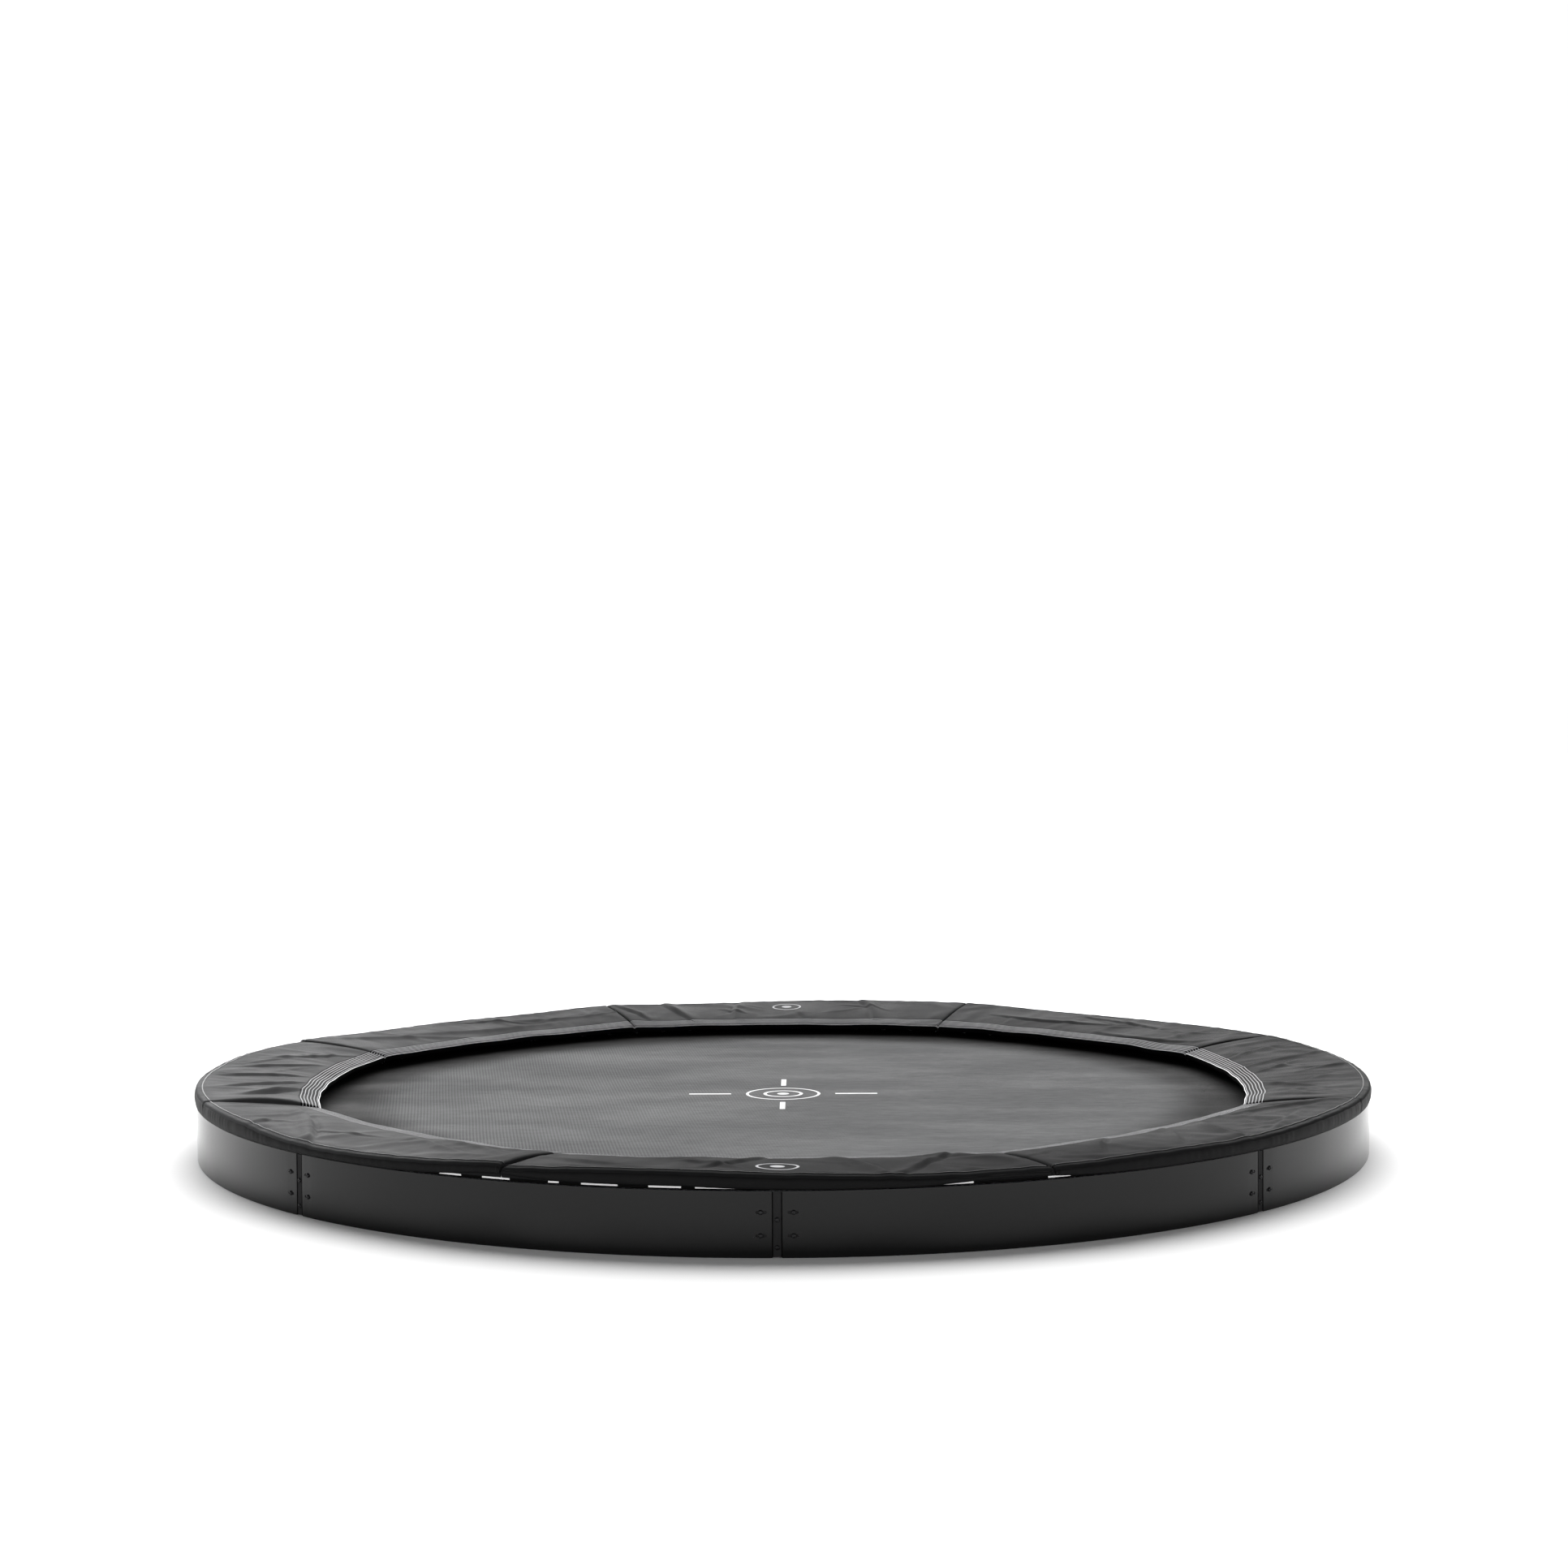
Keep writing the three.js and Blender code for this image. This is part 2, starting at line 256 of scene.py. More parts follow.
def make_mat_weave(marks):
    """Woven polypropylene, painted black towards its edge as painted shade under the pads. marks
    is a function that masks the white marks.
    """
    dark, light = (0.040, 0.0406, 0.0415), (0.098, 0.099, 0.101)
    n = Surface("mat_weave", dark, 0.62, Specular_IOR_Level=0.015)
    place = n.place()
    split = n.split(place)
    weave = thread_pattern(n, place, 0.0024)
    fine = n.ramp(weave, -0.7, 0.7)
    cloud = n.noise(n.stretched(place, (0.7, 2.2, 1.0)), 2.2, 5.0)
    streaks = n.ramp(n.noise(n.stretched(place, (12.0, 40.0, 1.0)), 1.0, 4.0, 0.7), 0.25, 0.75)
    drift = n.noise(place, 1.1, 1.0)
    phase = n.weighted(
        (split[0], 2 * math.pi / 0.0115), (drift, 9.0), (split[1], 2 * math.pi / 0.08)
    )
    twill = n.math("MULTIPLY", n.math("SINE", phase), n.ramp(split[0], 0.4, -0.9))
    tone = n.weighted((fine, 0.25), (cloud, 0.35), (streaks, 0.4), (twill, 0.34))
    # painted shade: the weave is painted darker towards the back
    tone = n.math("MULTIPLY", tone, n.ramp(split[1], -0.6, 1.6, 1.0, 0.75))
    # painted shade: the weave turns black towards its edge, where the pads shade it
    dark_edge = n.ramp(n.distance(split[0], split[1]), 1.37, 1.58)
    cloth = n.mix(dark_edge, n.mix(tone, dark, light), (0.003, 0.003, 0.003))
    n.set("Base Color", n.mix(marks(n, place), cloth, (0.82, 0.82, 0.82)))
    n.set("Roughness", n.ramp(cloud, 0.3, 0.7, 0.55, 0.7))
    broad = n.bump(cloud, 0.01, 0.25)
    n.bump(weave, 0.0008, 0.6, onto=broad)
    return n.material


def band(n, value, low, high, soft=0.0012):
    """1 where value is between low and high, with soft edges."""
    rise = n.ramp(value, low - soft, low + soft)
    fall = n.ramp(value, high - soft, high + soft, 1.0, 0.0)
    return n.math("MULTIPLY", rise, fall)


def centre_marks(n, place):
    """Four short bars towards the middle and a plain target: two rings and a dot."""
    split = n.split(place)
    across, along = (n.math("ABSOLUTE", split[i]) for i in (0, 1))
    radius = n.distance(split[0], split[1])
    shown = band(n, radius, -1.0, 0.022)
    for low, high in ((0.062, 0.074), (0.129, 0.139)):
        shown = n.math("MAXIMUM", shown, band(n, radius, low, high))
    for length, width in ((across, along), (along, across)):
        bar = n.math("MULTIPLY", band(n, length, 0.195, 0.352), band(n, width, -1.0, 0.0095))
        shown = n.math("MAXIMUM", shown, bar)
    worn = n.ramp(n.noise(place, 300.0, 4.0), 0.2, 0.5, 0.72, 1.0)
    return n.math("MULTIPLY", shown, worn)


def make_webbing(name, dark, light):
    """Ribbed polyester webbing, with the ribs across the map's y."""
    n = Surface(name, dark, 0.75, Specular_IOR_Level=0.3)
    split = n.split(n.cloth_place())
    ribs = n.math("SINE", n.math("MULTIPLY", split[1], 2 * math.pi / 0.003))
    n.set("Base Color", n.mix(n.ramp(ribs, -1.0, 1.0), dark, light))
    n.bump(ribs, 0.0005, 0.5)
    return n.material


def painted_left_light(n, place):
    """How much painted light the cover gets, from 0 to 1: the left side is painted lighter, as the
    light falls from the left.
    """
    return n.ramp(n.split(place)[0], -0.7, -2.0)


def make_pad_cover():
    """Coated fabric with a fine cloth backing that shows through, and the striped inner border."""
    dark, light = (0.008, 0.0081, 0.0084), (0.014, 0.0142, 0.0146)
    n = Surface("pad_cover", dark, 0.5, Specular_IOR_Level=0.009)
    place = n.place()
    cloth = n.cloth_place()
    split = n.split(cloth)
    cloud = n.noise(place, 5.0, 5.0)
    phase = n.math("FRACT", n.math("DIVIDE", split[1], TRIM_WIDTH / STRIPES))
    trim = band(n, split[1], 0.0, TRIM_WIDTH)
    stripe = n.math("MULTIPLY", band(n, phase, 0.17, 0.43, 0.05), trim)
    worn = n.ramp(n.noise(place, 160.0, 4.0), 0.25, 0.5, 0.8, 1.0)
    spot = n.split(place)
    # painted light: the cover is painted lighter at the back and at the left, where more light
    # falls on it
    painted_back_light = n.math("MULTIPLY", n.ramp(spot[1], 0.8, 2.0), 0.4)
    painted_light = n.math("MAXIMUM", painted_left_light(n, place), painted_back_light)
    base = n.mix(painted_light, n.mix(cloud, dark, light), (0.052, 0.0524, 0.0535))
    # the trim's black ground is print; the inner face, which the map puts into this band, is
    # painted the same black as painted shade
    dark_edge = n.mix(band(n, split[1], -1.0, TRIM_WIDTH), base, (0.003, 0.003, 0.0032))
    printed = n.math("MAXIMUM", n.math("MULTIPLY", stripe, worn), badge_mark(n, place))
    n.set("Base Color", n.mix(printed, dark_edge, (0.38, 0.38, 0.39)))
    front = n.ramp(spot[1], -1.2, -1.9, 0.0, 0.16)
    dulled = n.math("MULTIPLY", front, n.ramp(spot[0], -1.2, -0.2))
    n.set("Roughness", n.math("ADD", n.ramp(cloud, 0.3, 0.7, 0.54, 0.64), dulled))
    creases = n.bump(n.noise(place, 14.0, 2.0, 0.4), 0.003, 0.2)
    n.bump(thread_pattern(n, cloth, 0.0011), 0.0002, 0.35, onto=creases)
    return n.material


def badge_mark(n, place):
    """A plain ring with a dot on the front and the back pad."""
    split = n.split(place)
    along = n.math("SUBTRACT", n.math("ABSOLUTE", split[1]), BADGE_RADIUS)
    radius = n.distance(split[0], along)
    return n.math("MAXIMUM", band(n, radius, 0.057, 0.065), band(n, radius, -1.0, 0.022))


def make_piping():
    """Corded piping, painted paler at the left as a painted highlight along the crest."""
    black = (0.01, 0.01, 0.0103)
    n = Surface("piping", black, 0.5, Specular_IOR_Level=0.06)
    place = n.place()
    # painted highlight: the piping is painted paler at the left
    n.set("Base Color", n.mix(painted_left_light(n, place), black, (0.16, 0.16, 0.163)))
    n.bump(n.noise(place, 300.0, 4.0), 0.0007, 0.5)
    return n.material


def make_plain(name, color, roughness, scale, specular=0.5):
    """Foam, skirt, welt, or the near-black sheet and strips that paint shade: one colour with a
    grain in tone and height.
    """
    n = Surface(name, color, roughness, Specular_IOR_Level=specular)
    grain = n.noise(n.place(), scale, 4.0)
    dark, light = (tuple(share * c for c in color) for share in (0.8, 1.2))
    n.set("Base Color", n.mix(grain, dark, light))
    n.bump(grain, 0.2 / scale, 0.5)
    return n.material


wall_paint = make_paint("wall_paint", (0.003, 0.0031, 0.0032), (0.006, 0.0061, 0.0064), 0.09, 0.23)
frame_paint = make_paint("frame_paint", (0.024, 0.024, 0.0245), (0.034, 0.034, 0.0346), 0.7, 0.03)
zinc = make_zinc()
bolt_black = make_bolt_black()
mat_weave = make_mat_weave(centre_marks)
black_webbing = make_webbing("black_webbing", (0.006, 0.006, 0.006), (0.014, 0.014, 0.014))
pad_cover = make_pad_cover()
# painted shade: the skirt is the cover's fabric painted darker, as it faces down and out
painted_shade_skirt = make_plain("painted_shade_skirt", (0.004, 0.004, 0.0042), 0.55, 500.0, specular=0.1)
# painted shade: near-black, for the sheet behind the skirt and the strips in the joint gaps
painted_shade_black = make_plain("painted_shade_black", (0.002, 0.002, 0.002), 0.8, 500.0, specular=0.05)
white_foam = make_plain("white_foam", (0.8, 0.8, 0.8), 0.7, 400.0)
piping_cord = make_piping()
white_welt = make_plain("white_welt", (0.6, 0.6, 0.61), 0.35, 700.0)


# ---------------------------------------------------------------- mesh building


def new_piece(name, points, faces, material, smooth=True, uv=None, sharp_deg=None):
    mesh = bpy.data.meshes.new(name)
    mesh.from_pydata([tuple(p) for p in np.asarray(points, float).reshape(-1, 3)], [], faces)
    mesh.materials.append(material)
    mesh.polygons.foreach_set("use_smooth", [smooth] * len(mesh.polygons))
    if sharp_deg is not None:
        mesh.set_sharp_from_angle(angle=math.radians(sharp_deg))
    if uv is not None:
        layer = mesh.uv_layers.new(name="cloth")
        corner = np.empty(len(mesh.loops), np.int32)
        mesh.loops.foreach_get("vertex_index", corner)
        layer.uv.foreach_set("vector", np.asarray(uv, np.float32).reshape(-1, 2)[corner].ravel())
    mesh.validate()
    piece = bpy.data.objects.new(name, mesh)
    bpy.context.scene.collection.objects.link(piece)
    return piece


def loft_faces(rows, columns, closed_rows=False, closed_columns=False, caps=False):
    """Quads over a grid of points, row by row. caps fill its first and last row."""
    i, j = np.meshgrid(
        np.arange(rows if closed_rows else rows - 1),
        np.arange(columns if closed_columns else columns - 1),
        indexing="ij",
    )
    i, j = i.ravel(), j.ravel()
    next_i, next_j = (i + 1) % rows, (j + 1) % columns
    quads = np.stack(
        [i * columns + j, i * columns + next_j, next_i * columns + next_j, next_i * columns + j], 1
    )
    faces = quads.tolist()
    if caps:
        faces.append(list(range(columns))[::-1])
        faces.append(list(range((rows - 1) * columns, rows * columns)))
    return faces


def copy_turned(piece, name, angle):
    """A copy of piece, turned about the Z axis, that shares nothing with it."""
    copy = piece.copy()
    copy.data = piece.data.copy()
    copy.name = name
    copy.data.transform(Matrix.Rotation(angle, 4, "Z"))
    bpy.context.scene.collection.objects.link(copy)
    return copy


def around_ring(first, stem, body, replaced=None):
    """Makes pieces 2 to 8 from the first, which stands at joint 1, and lets all ride on body."""
    pieces = [first]
    first.name = f"{stem}_1"
    for k in range(2, SECTIONS + 1):
        pieces.append(copy_turned(first, f"{stem}_{k}", (k - 1) * SECTION))
    for k, piece in enumerate(pieces, 1):
        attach(piece, body)
        if replaced:
            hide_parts(f"{replaced}_{k}")


def stand_at_first_joint(piece):
    """Turns a piece that was made at azimuth 0 to joint 1."""
    piece.data.transform(Matrix.Rotation(FIRST_JOINT, 4, "Z"))


def prism(outline, levels, along_x=False):
    """Points and faces of an outline carried between two levels, along Z or along X."""
    points = [[(c, a, b) if along_x else (a, b, c) for a, b in outline] for c in levels]
    return np.array(points), loft_faces(2, len(outline), closed_columns=True, caps=True)


def chamfered(low, high, bevel):
    """Outline of a rectangle between two corners, with its own corners cut off."""
    (a0, b0), (a1, b1) = low, high
    return [
        (a0 + bevel, b0), (a1 - bevel, b0), (a1, b0 + bevel), (a1, b1 - bevel),
        (a1 - bevel, b1), (a0 + bevel, b1), (a0, b1 - bevel), (a0, b0 + bevel),
    ]


# ---------------------------------------------------------------- wall, frame and bolts


def wall_outline(side):
    """Plan of a panel's face from joint 1 to joint 2: side 0 is the outer face, 1 the inner."""
    face = WALL_FACE - side * WALL_THICKNESS
    radius = math.hypot(face, WALL_FLAT)
    turn = math.atan2(WALL_FLAT, face)
    arc = np.linspace(turn, SECTION - turn, 40)
    flat = np.linspace(WALL_END, WALL_FLAT, 6)[:-1]
    along = np.concatenate([flat[:1], [WALL_END + 0.001], flat[1:]])
    start = np.stack([np.full(6, face), along], 1)
    if side == 0:  # the outer corner is rounded off
        start[:2, 0] -= (0.0011, 0.0003)
    middle = np.stack([radius * np.cos(arc), radius * np.sin(arc)], 1)
    turned = np.stack([start[::-1, 0], -start[::-1, 1]], 1)
    c, s = math.cos(SECTION), math.sin(SECTION)
    end = turned @ np.array([[c, s], [-s, c]])
    return np.concatenate([start, middle, end])


def make_wall_panel():
    """One panel with its bolt slots, from joint 1 to joint 2."""
    outer, inner = wall_outline(0), wall_outline(1)
    near, far = 0.75 * outer + 0.25 * inner, 0.25 * outer + 0.75 * inner
    count, edge = len(outer), 0.0005
    rows = [
        (outer, edge), (outer, WALL_HEIGHT - edge), (near, WALL_HEIGHT), (far, WALL_HEIGHT),
        (inner, WALL_HEIGHT - edge), (inner, edge), (far, 0.0), (near, 0.0),
    ]
    points = np.stack([np.concatenate([plan, np.full((count, 1), z)], 1) for plan, z in rows], 1)
    faces = loft_faces(count, len(rows), closed_columns=True, caps=True)
    panel = new_piece("wall_panel", points, faces, wall_paint)
    cutters = [
        slot_cutter(side * 0.046, height, turn)
        for turn, side in ((0.0, 1), (SECTION, -1))
        for height in PANEL_BOLT_HEIGHTS
    ]
    subtract(panel, cutters)
    stand_at_first_joint(panel)
    panel.data.set_sharp_from_angle(angle=math.radians(30))
    return panel


def slot_cutter(y, z, turn, length=0.032, width=0.0085):
    """A round-ended bar through the wall at a joint."""
    angles = np.linspace(-math.pi / 2, math.pi / 2, 9)
    half = (length - width) / 2
    right = [(half + width / 2 * math.cos(a), width / 2 * math.sin(a)) for a in angles]
    outline = right + [(-a, -b) for a, b in right]
    outline = [(y + a, z + b) for a, b in outline]
    levels = (WALL_FACE - 0.01, WALL_FACE + 0.01)
    cutter = new_piece("slot_cutter", *prism(outline, levels, along_x=True), wall_paint)
    cutter.data.transform(Matrix.Rotation(turn, 4, "Z"))
    return cutter


def subtract(piece, cutters):
    """Cuts the cutters out of the piece, and removes them."""
    fix_normals(piece)
    for cutter in cutters:
        fix_normals(cutter)
        modifier = piece.modifiers.new("cut", "BOOLEAN")
        modifier.object = cutter
        modifier.solver = "EXACT"
    graph = bpy.context.evaluated_depsgraph_get()
    made = bpy.data.meshes.new_from_object(piece.evaluated_get(graph))
    piece.modifiers.clear()
    piece.data = made
    for cutter in cutters:
        bpy.data.objects.remove(cutter)


def fix_normals(piece):
    mesh = bmesh.new()
    mesh.from_mesh(piece.data)
    bmesh.ops.recalc_face_normals(mesh, faces=mesh.faces)
    mesh.to_mesh(piece.data)
    mesh.free()


def ring_tube(outer, inner, start, end, steps, sides=28):
    """Points and faces of a tube with open ends, bent along the ring."""
    around = full_turn(sides)
    along = np.linspace(start, end, steps)
    shells = []
    for size in (outer, inner):
        r = TUBE_RING + size * np.cos(around)
        z = TUBE_HEIGHT + size * np.sin(around)
        shells.append(polar(r[None, :], along[:, None], z[None, :]))
    loop = np.concatenate([shells[0], shells[1][::-1]])
    return loop, loft_faces(2 * steps, sides, closed_rows=True, closed_columns=True)


def make_leg():
    """The square post at joint 1, its foot plate and the T-sleeve that the tubes slide into."""
    half, radius = 0.02, 0.004
    middle = LEG_FACE - half
    outline = []
    for quarter in range(4):
        turn = quarter * math.pi / 2
        reach = (half - radius) * math.sqrt(2)
        x = middle + reach * math.cos(turn + math.pi / 4)
        y = reach * math.sin(turn + math.pi / 4)
        corner = turn + np.linspace(0, math.pi / 2, 4)
        outline += [(x + radius * math.cos(a), y + radius * math.sin(a)) for a in corner]
    foot = chamfered((LEG_FACE - 0.045, -0.032), (LEG_FACE, 0.032), 0.004)
    parts = [
        prism(outline, (0.003, TUBE_HEIGHT - SLEEVE_OUTER + 0.008)),
        prism(foot, (0.0, 0.004)),
        ring_tube(SLEEVE_OUTER, SLEEVE_INNER, -SLEEVE_HALF, SLEEVE_HALF, 7),
    ]
    leg = join_parts("leg", parts, zinc, 35)
    stand_at_first_joint(leg)
    return leg


def join_parts(name, parts, material, sharp_deg=None):
    """One piece from several (points, faces), kept as separate shells."""
    points, faces, offset = [], [], 0
    for part_points, part_faces in parts:
        flat = np.asarray(part_points, float).reshape(-1, 3)
        points.append(flat)
        faces += [[offset + v for v in face] for face in part_faces]
        offset += len(flat)
    piece = new_piece(name, np.concatenate(points), faces, material, sharp_deg=sharp_deg)
    fix_normals(piece)
    return piece


def bolt_parts(face, y, z, tip):
    """A button-head bolt along X at a joint, with a washer and a hexagon socket in its head."""
    under = face + 0.0003
    profile = [
        (tip, 0.0028), (tip + 0.0008, 0.0036), (under, 0.0036), (under, 0.0073),
        (under + 0.0006, 0.0075), (under + 0.0018, 0.0072), (under + 0.0031, 0.0062),
        (under + 0.0040, 0.0050), (under + 0.0044, 0.0038),
    ]
    angles = full_turn(24)
    hexagon = 0.0024 / np.cos((angles + math.pi / 6) % (math.pi / 3) - math.pi / 6)
    rows = profile + [(under + 0.0044, hexagon), (under + 0.0022, hexagon)]
    points = [
        np.stack([np.full(24, x), r * np.cos(angles) + y, r * np.sin(angles) + z], 1)
        for x, r in rows
    ]
    return np.array(points), loft_faces(len(rows), 24, closed_columns=True, caps=True)


def make_joint_hardware():
    """The nut plate behind joint 1, and its six bolts, each its own piece."""
    inside = WALL_FACE - 0.0073
    outline = chamfered((-0.058, 0.016), (0.058, 0.146), 0.003)
    plate = prism(outline, (inside, inside + 0.003), along_x=True)
    pieces = [join_parts("nut_plate", [plate], zinc, 35)]
    places = [(0.0, height, WALL_FACE - 0.0018) for height in LEG_BOLT_HEIGHTS]
    for side in (-1, 1):
        places += [(side * 0.048, height, WALL_FACE) for height in PANEL_BOLT_HEIGHTS]
    for number, (y, z, face) in enumerate(places):
        tip = LEG_FACE - 0.006 if y == 0 else inside - 0.004
        pieces.append(join_parts(f"bolt_{number}", [bolt_parts(face, y, z, tip)], bolt_black, 40))
    for piece in pieces:
        stand_at_first_joint(piece)
    return pieces


def make_shade_strips():
    """The black strips along both edges of the gap at joint 1, which paint the shade in the
    joint's recess.
    """
    back, face = WALL_FACE - 0.0017, WALL_FACE - 0.0003
    parts = []
    for side in (-1, 1):
        free, hidden = side * SHADE_STRIP_INNER, side * (WALL_END + 0.0002)
        outline = [(back, free), (face, free), (face, hidden), (back, hidden)]
        parts.append(prism(outline, (0.002, WALL_HEIGHT - 0.002)))
    shade_strip = join_parts("shade_strip", parts, painted_shade_black, 35)
    stand_at_first_joint(shade_strip)
    return shade_strip


around_ring(make_wall_panel(), "panel", "frame", "wall_panel")
tube_start, tube_end = joint_angle(1) + TUBE_GAP, joint_angle(2) - TUBE_GAP
tube_part = ring_tube(TUBE_OUTER, TUBE_OUTER - TUBE_WALL, tube_start, tube_end, 48)
around_ring(join_parts("tube", [tube_part], zinc, 40), "tube", "frame", "top_tube")
around_ring(make_leg(), "post", "frame", "leg")
nut_plate, *bolts = make_joint_hardware()
around_ring(make_shade_strips(), "shade_strip", "frame")
around_ring(nut_plate, "nut_plate", "frame", "joint_bolts")
for number, bolt in enumerate(bolts, 1):
    around_ring(bolt, f"bolt_{'abcdef'[number - 1]}", "frame")
for k in range(1, SECTIONS + 1):
    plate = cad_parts[f"joint_plate_{k}"]
    plate.data.materials.clear()
    plate.data.materials.append(frame_paint)


# ---------------------------------------------------------------- mat, hem, rings and springs


def make_mat():
    """The woven disc, cut to one round piece and stretched flat."""
    rings = np.concatenate([[0.0], np.linspace(0.06, MAT_RADIUS, 30)])
    around = full_turn(192)
    top, bottom = MAT_TOP, mat_low.z
    points = [[0, 0, top]]
    points += polar(rings[1:, None], around[None, :], top).reshape(-1, 3).tolist()
    points += polar(rings[:0:-1, None], around[None, :], bottom).reshape(-1, 3).tolist()
    points.append([0, 0, bottom])
    rows = 2 * (len(rings) - 1)
    count = len(around)
    faces = [[v + 1 for v in face] for face in loft_faces(rows, count, closed_columns=True)]
    last = 1 + rows * count
    for i in range(count):
        after = (i + 1) % count
        faces.append([0, 1 + i, 1 + after])
        faces.append([last, last - count + after, last - count + i])
    mat = new_piece("mat_cloth", points, faces, mat_weave, sharp_deg=40)
    fix_normals(mat)
    return mat


def make_hem():
    """The webbing band sewn under the mat's edge."""
    around = full_turn(192)
    low, high = hem_low.z, mat_low.z - 0.0002
    profile = [
        (HEM_INNER, low + 0.001), (HEM_INNER, high), (HEM_OUTER - 0.001, high),
        (HEM_OUTER + 0.001, (low + high) / 2), (HEM_OUTER - 0.001, low), (HEM_INNER + 0.001, low),
    ]
    r, z = np.array(profile).T
    points = polar(r[None, :], around[:, None], z[None, :])
    uv = np.stack(np.broadcast_arrays((around * HEM_OUTER)[:, None], (r + z)[None, :]), -1)
    faces = loft_faces(len(around), len(profile), closed_rows=True, closed_columns=True)
    hem = new_piece("hem_band", points, faces, black_webbing, sharp_deg=50, uv=uv)
    fix_normals(hem)
    return hem


def wire(path, radius, sides=6, closed=False):
    """Points and faces of a round wire along a path."""
    path = np.asarray(path, float)
    if closed:
        ahead = np.roll(path, -1, 0) - np.roll(path, 1, 0)
    else:
        ahead = np.gradient(path, axis=0)
    ahead /= np.linalg.norm(ahead, axis=1, keepdims=True)
    reference = np.array([0.0, 0.0, 1.0])
    side = np.cross(ahead, reference)
    short = np.linalg.norm(side, axis=1) < 0.2
    side[short] = np.cross(ahead[short], np.array([1.0, 0.0, 0.0]))
    side /= np.linalg.norm(side, axis=1, keepdims=True)
    up = np.cross(side, ahead)
    angles = full_turn(sides)
    c, s = np.cos(angles)[None, :, None], np.sin(angles)[None, :, None]
    points = path[:, None, :] + radius * (side[:, None, :] * c + up[:, None, :] * s)
    options = {"closed_rows": closed, "closed_columns": True, "caps": not closed}
    return points, loft_faces(len(path), sides, **options)


def turned_points(points, angle):
    c, s = math.cos(angle), math.sin(angle)
    return np.asarray(points) @ np.array([[c, s, 0], [-s, c, 0], [0, 0, 1]])


def make_v_rings():
    """The steel triangles in the hem's edge that the springs hook into, as one piece."""
    z = (hem_low.z + mat_low.z) / 2
    back = HEM_OUTER - 0.012
    corners = [(back, -0.015), (V_RING_REACH - 0.002, 0.0), (back, 0.015)]
    path = []
    for a, b in zip(corners, corners[1:] + corners[:1]):
        for t in (0.12, 0.5, 0.88):
            path.append((a[0] + (b[0] - a[0]) * t, a[1] + (b[1] - a[1]) * t, z))
    points, faces = wire(path, 0.0016, closed=True)
    angles = (2 * math.pi * (i + 0.5) / SPRINGS for i in range(SPRINGS))
    return join_parts("v_rings", [(turned_points(points, a), faces) for a in angles], zinc)


def spring_path():
    """Centreline of one spring at azimuth 0: an inner hook, the close coil and an outer hook."""
    inner = np.array([V_RING_REACH - 0.004, 0.0, (hem_low.z + mat_low.z) / 2])
    outer = np.array([TUBE_RING - TUBE_OUTER + 0.0015, 0.0, TUBE_HEIGHT - 0.008])
    ahead = outer - inner
    length = np.linalg.norm(ahead)
    ahead /= length
    up = np.cross(ahead, [0.0, 1.0, 0.0])
    up *= math.copysign(1, up[2])
    side = np.array([0.0, 1.0, 0.0])
    radius, hook, turns = 0.0105, 0.028, 34
    steps = np.linspace(0, 1, turns * 9)
    angle = 2 * math.pi * turns * steps
    coil = (
        inner
        + np.outer(hook + (length - 2 * hook) * steps, ahead)
        + radius * (np.outer(np.cos(angle), up) + np.outer(np.sin(angle), side))
    )
    bend = np.linspace(0, 1, 6)[:, None]
    start = inner + bend * (coil[0] - inner - 0.004 * ahead)
    end = coil[-1] + bend * (outer - coil[-1]) + 0.004 * ahead * (1 - bend)
    return np.concatenate([start, coil, end])


def make_springs():
    path = spring_path()
    points, faces = wire(path, 0.0016, sides=4)
    for k in range(1, SECTIONS + 1):
        for i in range(SPRINGS // SECTIONS):
            angle = joint_angle(k) + (i + 0.5) * 2 * math.pi / SPRINGS
            part = turned_points(points, angle), faces
            spring = join_parts(f"spring_{k}_{i + 1:02d}", [part], zinc)
            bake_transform(spring)
            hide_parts(f"spring_row_{k}")


mat_cloth = make_mat()
hem_band = make_hem()
v_rings = make_v_rings()
for piece, slot, node in (
    (mat_cloth, "mat_weave", "jump_mat"),
    (hem_band, "webbing", "mat_hem"),
    (v_rings, "zinc", None),
):
    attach(piece, "mat")
    if node:
        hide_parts(node)
make_springs()


# ---------------------------------------------------------------- padded edge

DRAPE_GRID = (113, 32)  # points along and across a section's cover while it is draped
COVER_GRID = (209, 56)  # and on the cover that is kept
DRAPE_FRAMES = 24
DRAPE_REACH = 0.014  # the furthest that a point of the cover may move
DRAPE_SMOOTHING = 1.8  # steps of the draped grid that are blended into one
DRAPE_SHARE = 0.4  # how much of the draped move is kept
CLOTH = {
    "quality": 5, "mass": 0.3, "tension_stiffness": 25, "compression_stiffness": 10,
    "shear_stiffness": 8, "bending_stiffness": 12, "shrink_min": -0.014,
}

HALF_SECTION = SECTION / 2 - PAD_SEAM_GAP
ROLL = 0.009  # radius of the cover's rounded outer edge
ROLL_START = PAD_OUTER - 0.003 - ROLL
UNDERSIDE = 0.2065  # height of the pad's underside at its outer edge
LIP = 0.0245  # depth of the pad's inner face
END_ROUNDING = 0.014  # length along the edge over which a section's end is rounded down
END_DROP = 0.007  # and by how much
HIGHEST = 0.258  # no part of the cover stands above this
LEVELLED = 0.010  # depth below it over which the cover is levelled off
FOLD_SCALE = 1.2
FOLD_STEEP = 0.010  # width of a fold's steep side

# Millimetres above the ground of the cover's outer edge, at each section's start, quarters and end
CREST = {
    1: (237, 249, 242, 229, 231), 2: (233, 240, 238, 247, 247),
    3: (244, 242, 241, 241, 244), 4: (242, 230, 222, 223, 241),
    5: (240, 235, 232, 224, 235), 6: (235, 217, 216, 218, 240),
    7: (233, 243, 244, 248, 252), 8: (250, 248, 228, 232, 250),
}

